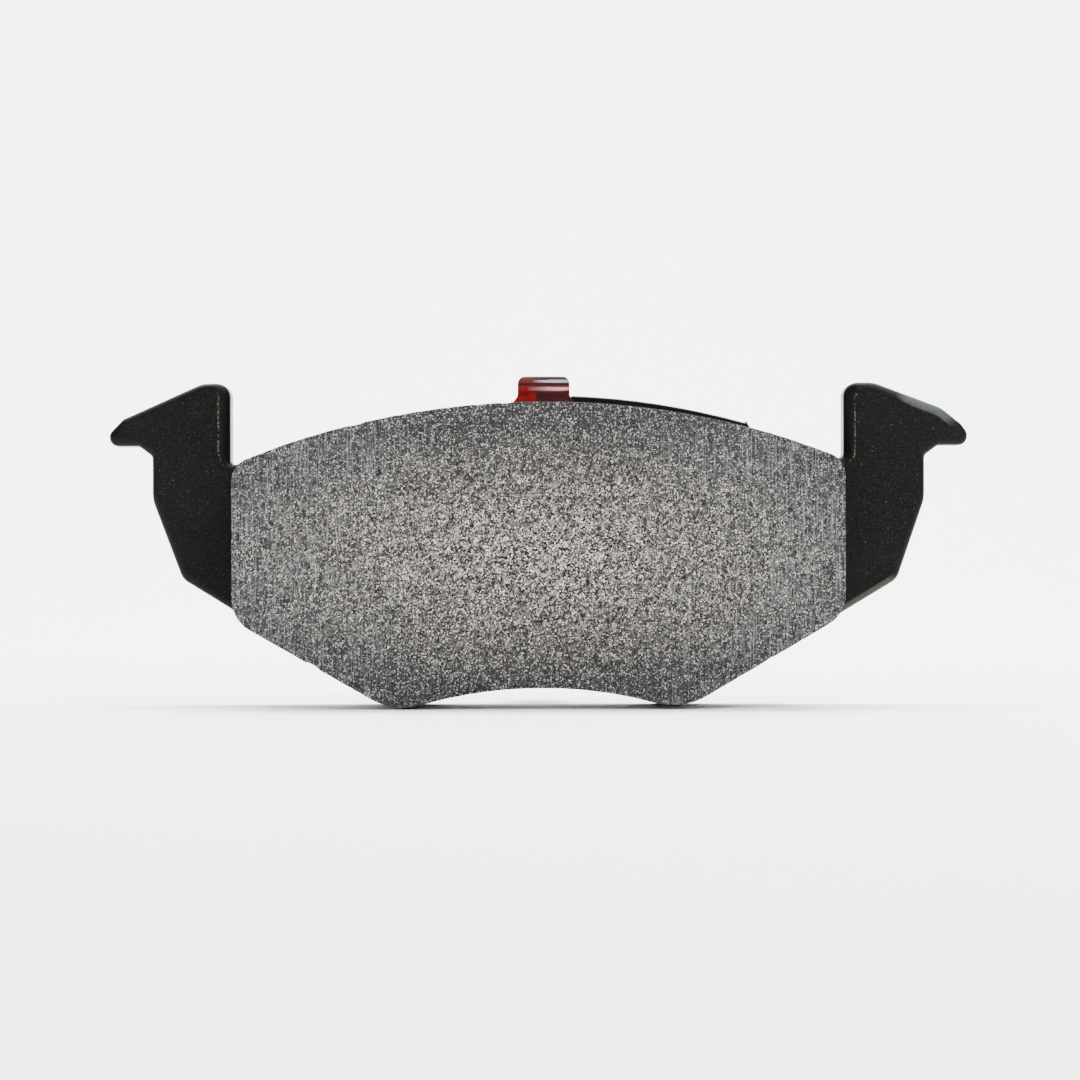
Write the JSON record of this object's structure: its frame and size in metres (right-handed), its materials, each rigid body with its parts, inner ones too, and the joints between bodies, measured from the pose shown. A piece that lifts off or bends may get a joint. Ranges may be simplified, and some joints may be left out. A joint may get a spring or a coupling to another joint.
{
  "type": "disc brake pad",
  "caption": "Disc brake pad: hooked steel backing plate, bonded friction block with a V-shaped lower edge, shim and riveted piston spring.",
  "frame": {"origin": "on the friction face, where the line of the caliper's piston meets it", "axes": "X along the pad, +Z radially outward from the wheel's axle, -Y out of the friction face towards the disc"},
  "size_m": [0.146, 0.0323, 0.056],
  "materials": {
    "friction": "ground, speckled with metal and dark grains",
    "underlayer": "rough pressed",
    "bond_resin": "cured resin",
    "plate_paint": "grainy black powder coat",
    "shim_glue": "pressure-sensitive adhesive",
    "shim_core": "rolled steel",
    "shim_face": "satin rubber coating",
    "spring_lacquer": "glossy red lacquer worn to bare steel",
    "rivet_steel": "bright zinc"
  },
  "bodies": {
    "root": {"friction_block": "friction", "underlayer": "underlayer", "adhesive_film": "bond_resin", "backing_plate": "plate_paint", "shim_adhesive": "shim_glue", "shim_steel": "shim_core", "shim_rubber": "shim_face", "retaining_spring": "spring_lacquer", "spring_rivets": "rivet_steel"}
  },
  "joints": []
}
